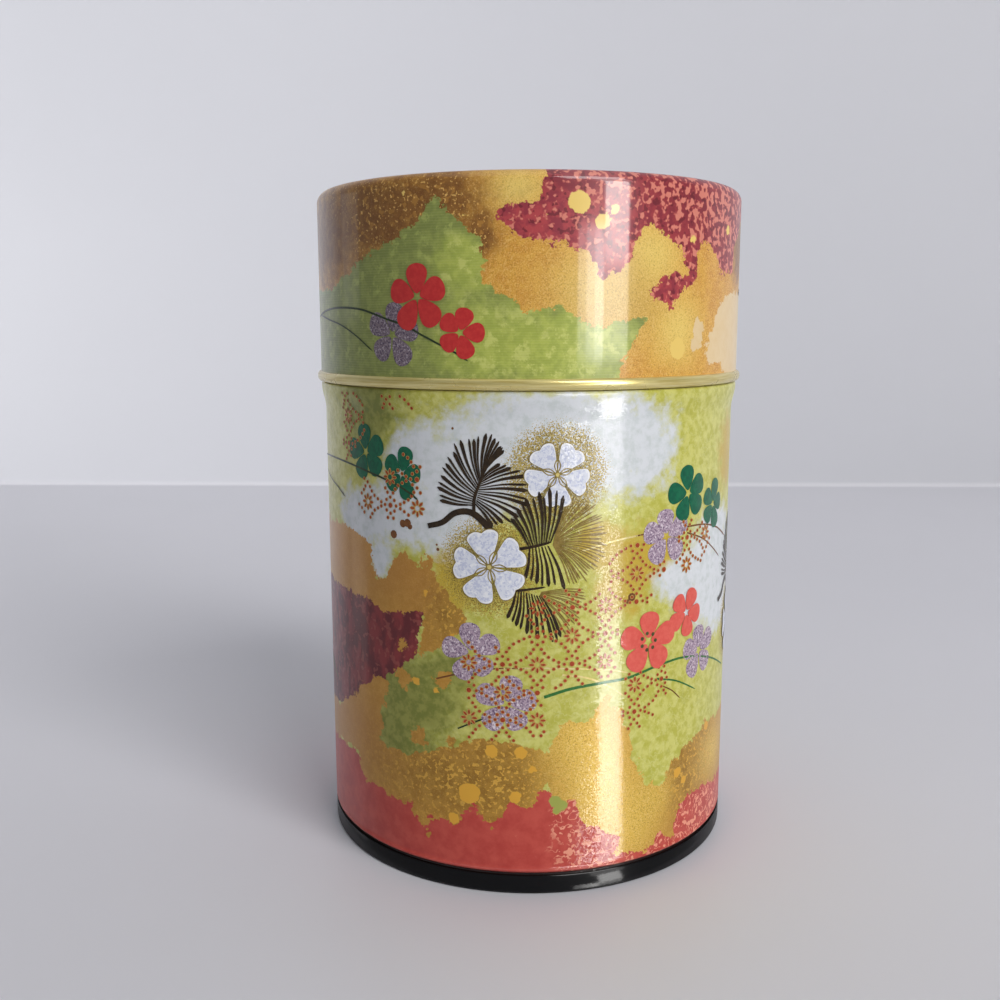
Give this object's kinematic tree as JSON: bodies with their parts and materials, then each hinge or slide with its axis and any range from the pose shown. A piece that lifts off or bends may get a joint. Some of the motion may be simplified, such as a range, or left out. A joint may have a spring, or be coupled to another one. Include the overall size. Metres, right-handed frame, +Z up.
{
  "type": "tea caddy",
  "caption": "Round printed tinplate tea canister with a slip-on lid that has a rolled gold rim, and a lift-out inner lid with a knob.",
  "frame": {"origin": "centre of the circle that the caddy stands on, on the surface under it", "axes": "+Z up along the axis of the tin; -Y is the face of the print that the picture shows, +X to its right"},
  "size_m": [0.0814, 0.0814, 0.122],
  "materials": {
    "printed_body": "glossy lacquered print in greens, golds and reds, with metallic gold inks; gold lacquer inside",
    "black_lacquer": "glossy black lacquer",
    "printed_lid": "glossy lacquered print in golds, green and crimson; gold lacquer inside and on the rolled rim",
    "bright_tinplate": "bright rolled tinplate",
    "turned_knob": "finely turned, satin",
    "rivet_steel": "plain satin steel"
  },
  "bodies": {
    "tin": {"body_shell": "printed_body", "bottom_end": "black_lacquer"},
    "outer_lid": {"lid_shell": "printed_lid"},
    "inner_lid": {"inner_lid_pan": "bright_tinplate", "inner_lid_knob": "turned_knob", "inner_lid_rivet": "rivet_steel"}
  },
  "joints": [
    {"name": "outer_lid_lift", "type": "slide", "parent": "tin", "child": "outer_lid", "axis": [0, 0, 1], "range_m": [0, 0.12]},
    {"name": "inner_lid_lift", "type": "slide", "parent": "tin", "child": "inner_lid", "axis": [0, 0, 1], "range_m": [0, 0.048]}
  ],
  "couplings": [
    {"joint": "inner_lid_lift", "follows": "outer_lid_lift", "ratio": 0.4}
  ]
}
